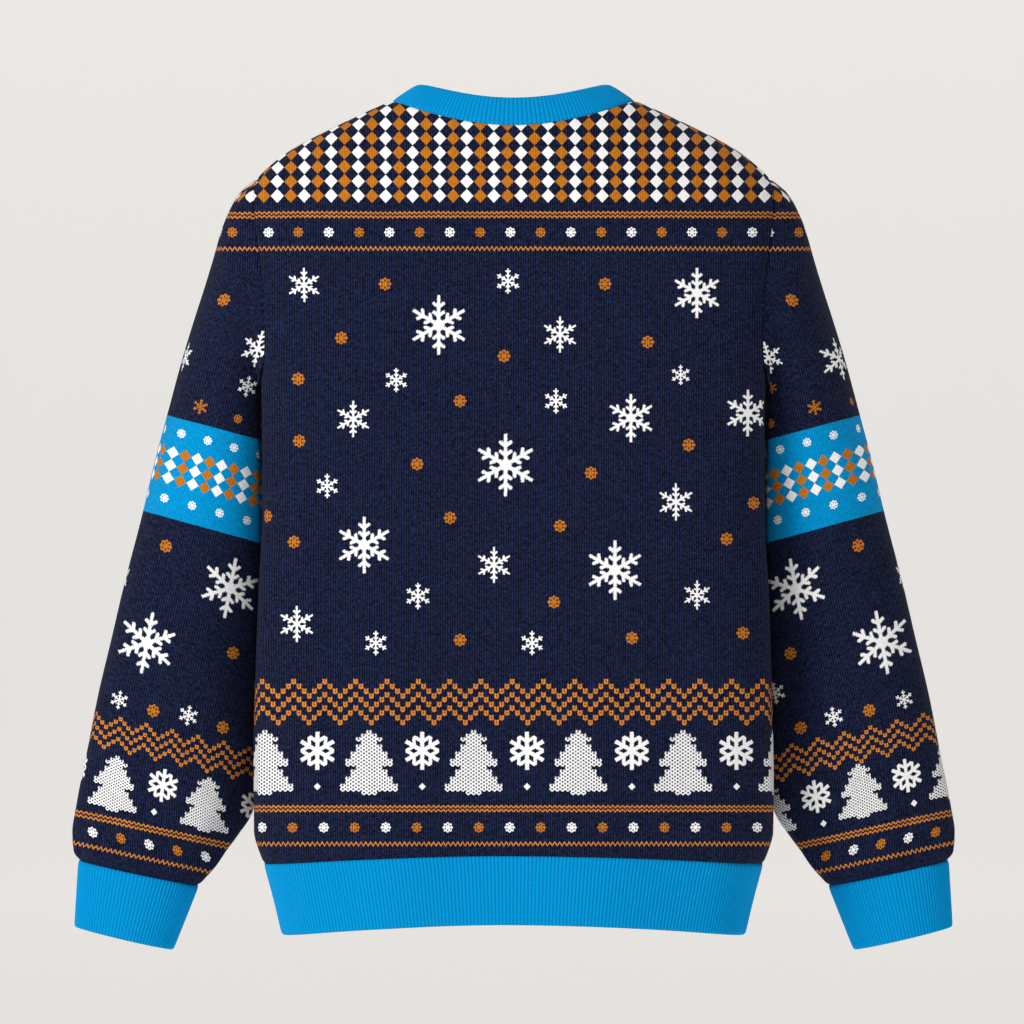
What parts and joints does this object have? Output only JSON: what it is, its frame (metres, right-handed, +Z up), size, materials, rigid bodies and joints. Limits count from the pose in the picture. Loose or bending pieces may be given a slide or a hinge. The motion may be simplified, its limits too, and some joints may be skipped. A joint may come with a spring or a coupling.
{
  "type": "christmas sweater",
  "caption": "Crew-neck knitted Christmas sweater, hollow and filled out as when worn, with a winter pattern and ribbed neck, cuffs and hem.",
  "frame": {"origin": "the middle of the neck opening, level with the two neck points where the shoulder seams meet the neckband; the wearer holds the sweater up here", "axes": "+Z up, +Y towards the wearer's front, +X towards the wearer's right, so the side in the picture, the sweater's back, faces -Y"},
  "size_m": [0.7536, 0.2301, 0.7378],
  "materials": {
    "navy_knit": "matte",
    "blue_rib": "matte"
  },
  "bodies": {
    "root": {"back_panel": "navy_knit", "front_panel": "navy_knit", "sleeve_left": "navy_knit", "sleeve_right": "navy_knit", "neckband": "blue_rib", "hem_band": "blue_rib", "cuff_left": "blue_rib", "cuff_right": "blue_rib"}
  },
  "joints": []
}
